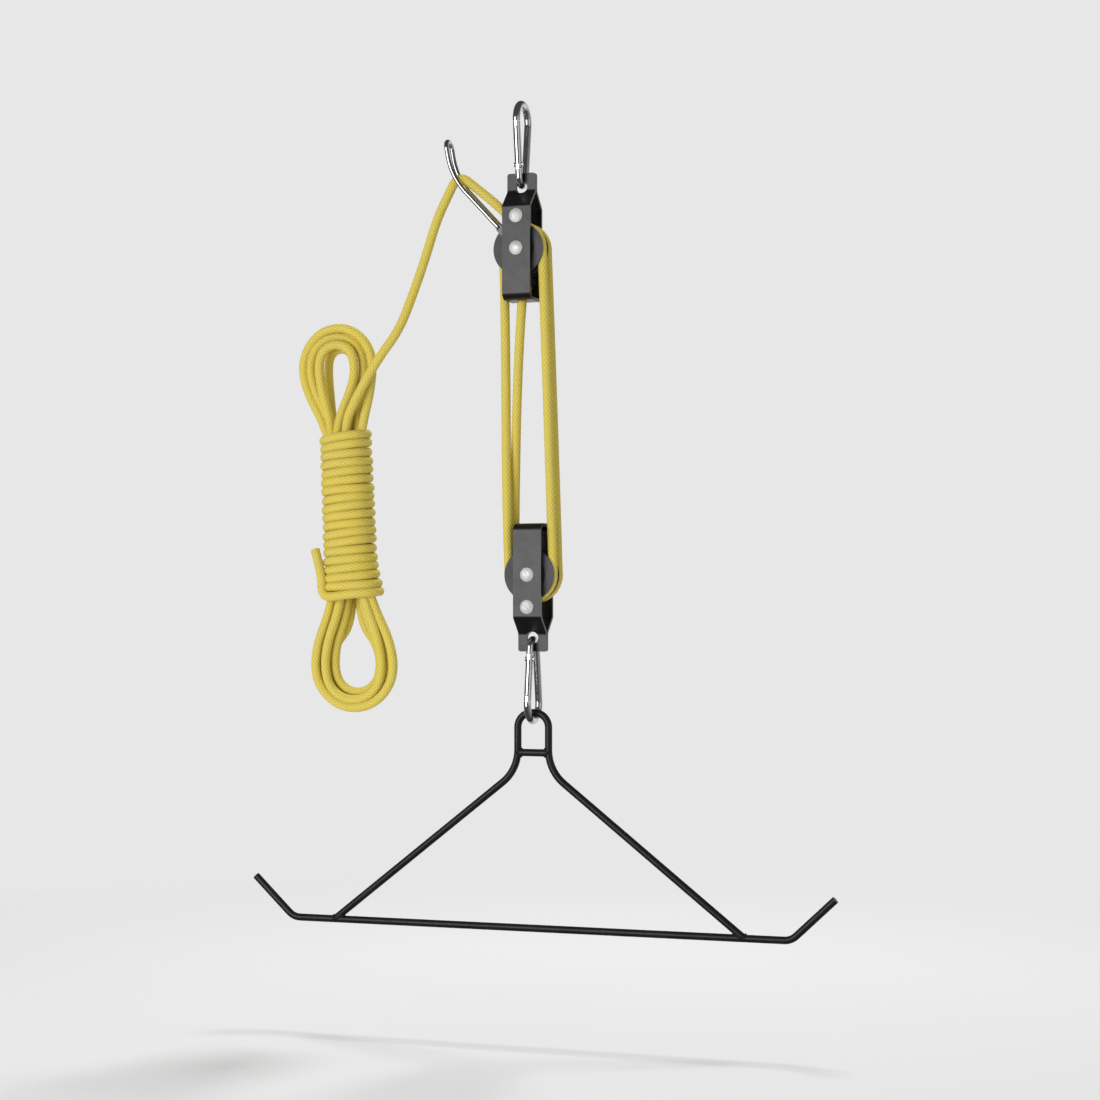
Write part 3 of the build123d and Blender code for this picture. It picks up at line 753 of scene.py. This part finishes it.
def legRing(side):  # where a leg of the bow meets the bar
    rod = weld["rod"]
    legWay = Vector((side * (weld["bendX"] - weld["legX"]), 0, weld["bendZ"] - weld["barZ"])).normalized()
    acrossWay = Vector((0, 1, 0)).cross(legWay)
    foot = Vector((weld["mid"] + side * weld["legX"], 0, weld["barZ"]))
    ring = []
    for c, s in roundRod():
        rise = rod * (abs(s) - s * acrossWay.z) / legWay.z
        ring.append(foot + Vector((0, rod * c, 0)) + acrossWay * (rod * s) + legWay * rise)
    return ring


def crossRing(side):  # where the crossbar meets the bow
    rod, post = weld["rod"], weld["mid"] + side * weld["bendX"]
    return [Vector((post - side * rod * abs(s), rod * c, weld["crossZ"] + rod * s)) for c, s in roundRod()]


def makeWelds():
    count = weld["ringPoints"]
    places, edges = [], []
    for side in (1, -1):
        for ring in (legRing(side), crossRing(side)):
            base = len(places)
            places += [point * mm for point in ring]
            edges += [(base + i, base + (i + 1) % count) for i in range(count)]
    smallest, largest = weld["sizes"]
    values = {
        "Count": weld["beads"], "Bead": weld["bead"], "Rounds": weld["rounds"], "Smallest": smallest,
        "Largest": largest, "Seed": weld["seed"], "Finish": finishes["gambrel_paint"],
    }
    piece = bakeNodes("gambrelWelds", places, edges, makeWeldTree(), values)
    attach(piece, "gambrel")
    print("weld beads:", len(piece.data.polygons), "faces")


makeWelds()


# floor, light and camera

stage = {
    "floorZ": -0.8,  # clear of the gambrel when its hook swings
    "floorHalf": 4.0,
    "floor": (0.875, 0.875, 0.875),
    "fade": (0.55, 1.3),  # from the middle, where the floor melts into the room
    "pale": (0.80, 0.80, 0.80),
    "dusk": (0.07, 0.07, 0.075),
    "behind": (0.3, 0.9),  # Y of a mirrored ray, from the dim room to the pale wall
    "beside": (0.5, 0.95),  # X, to the wall at the right
    "side": 0.3,  # how pale the wall at the right is beside the one behind
    "level": (0.15, 0.55),  # Z, from the walls to the dim ceiling
    "room": (0.42, 0.42, 0.42),
}


def makeFloor():
    half, z = stage["floorHalf"], stage["floorZ"]
    corners = [(-half, -half, z), (half, -half, z), (half, half, z), (-half, half, z)]
    mesh = bpy.data.meshes.new("floor")
    mesh.from_pydata(corners, [], [(0, 1, 2, 3)])
    floor = linked("floor", mesh)
    material = bpy.data.materials.new("paleFloor")
    material.use_nodes = True
    tree = material.node_tree
    tree.nodes.clear()
    away = distanceFrom(tree, (0, 0, 0), (1, 1, 0))
    fade = spread(tree, away, 0.0, 1.0, *stage["fade"])
    matte = put(tree, "ShaderNodeBsdfDiffuse", {"Color": (*stage["floor"], 1)})
    clear = put(tree, "ShaderNodeBsdfTransparent")
    mixed = put(tree, "ShaderNodeMixShader", {0: fade, 1: matte.outputs[0], 2: clear.outputs[0]})
    put(tree, "ShaderNodeOutputMaterial", {"Surface": mixed.outputs[0]})
    mesh.materials.append(material)
    floor.visible_glossy = False  # the metal mirrors the room alone


def makeWorld():
    world = bpy.data.worlds.new("paleRoom")
    bpy.context.scene.world = world
    world.use_nodes = True
    tree = world.node_tree
    tree.nodes.clear()
    rays = put(tree, "ShaderNodeLightPath").outputs
    mirrored = calc(tree, "MAXIMUM", rays["Is Glossy Ray"], rays["Is Transmission Ray"])
    way = put(tree, "ShaderNodeTexCoord").outputs["Generated"]
    parts = put(tree, "ShaderNodeSeparateXYZ", {"Vector": way}).outputs
    behind = spread(tree, parts["Y"], 0.0, 1.0, *stage["behind"])
    beside = spread(tree, parts["X"], 0.0, stage["side"], *stage["beside"])
    level = spread(tree, parts["Z"], 1.0, 0.0, *stage["level"])
    wall = calc(tree, "MULTIPLY", calc(tree, "MAXIMUM", behind, beside), level)
    around = blendColour(tree, wall, stage["dusk"], stage["pale"])  # a dim room with pale walls
    light = blendColour(tree, mirrored, stage["room"], around)
    colour = blendColour(tree, rays["Is Camera Ray"], light, stage["pale"])
    room = put(tree, "ShaderNodeBackground", {"Color": colour, "Strength": 1.0})
    put(tree, "ShaderNodeOutputWorld", {"Surface": room.outputs[0]})


lamps = {
    "key": {
        "place": (-0.85, -2.2, -0.2), "aim": (0, 0, -0.36), "size": 1.7, "power": 34.5, "mirrored": True,
    },
    "fill": {
        "place": (1.9, -1.0, 0.0), "aim": (0, 0, -0.35), "size": 1.4, "power": 3.0, "mirrored": True,
    },
    "top": {
        "place": (0.0, 1.0, 1.3), "aim": (0, 0, -0.6), "size": 0.5, "power": 24.0, "mirrored": False,
    },
}


def makeLamps():
    for name, facts in lamps.items():
        lamp = bpy.data.lights.new(name + "Lamp", "AREA")
        lamp.shape = "SQUARE"
        lamp.size = facts["size"]
        lamp.energy = facts["power"]
        holder = linked(name + "Lamp", lamp)
        holder.visible_glossy = facts["mirrored"]
        holder.location = facts["place"]
        way = Vector(facts["aim"]) - Vector(facts["place"])
        holder.rotation_euler = way.to_track_quat("-Z", "Y").to_euler()


camera = {
    "place": (0.7046, -1.9358, -0.4305),
    "tilt": 90.0,  # degrees about X, level
    "turn": 20.0,  # degrees about Z
    "sensor": 36.0,
    "lens": 78.38,
    "shift": (0.0252, 0.0536),
    "clipEnd": 50.0,
}


def makeCamera():
    data = bpy.data.cameras.new("photoCamera")
    data.sensor_width = camera["sensor"]
    data.lens = camera["lens"]
    data.shift_x, data.shift_y = camera["shift"]
    data.clip_end = camera["clipEnd"]
    holder = linked("photoCamera", data)
    holder.location = camera["place"]
    holder.rotation_euler = (math.radians(camera["tilt"]), 0, math.radians(camera["turn"]))
    bpy.context.scene.camera = holder


makeFloor()
makeWorld()
makeLamps()
makeCamera()
bpy.context.scene.view_settings.view_transform = "Standard"
print("stage, light and camera set")
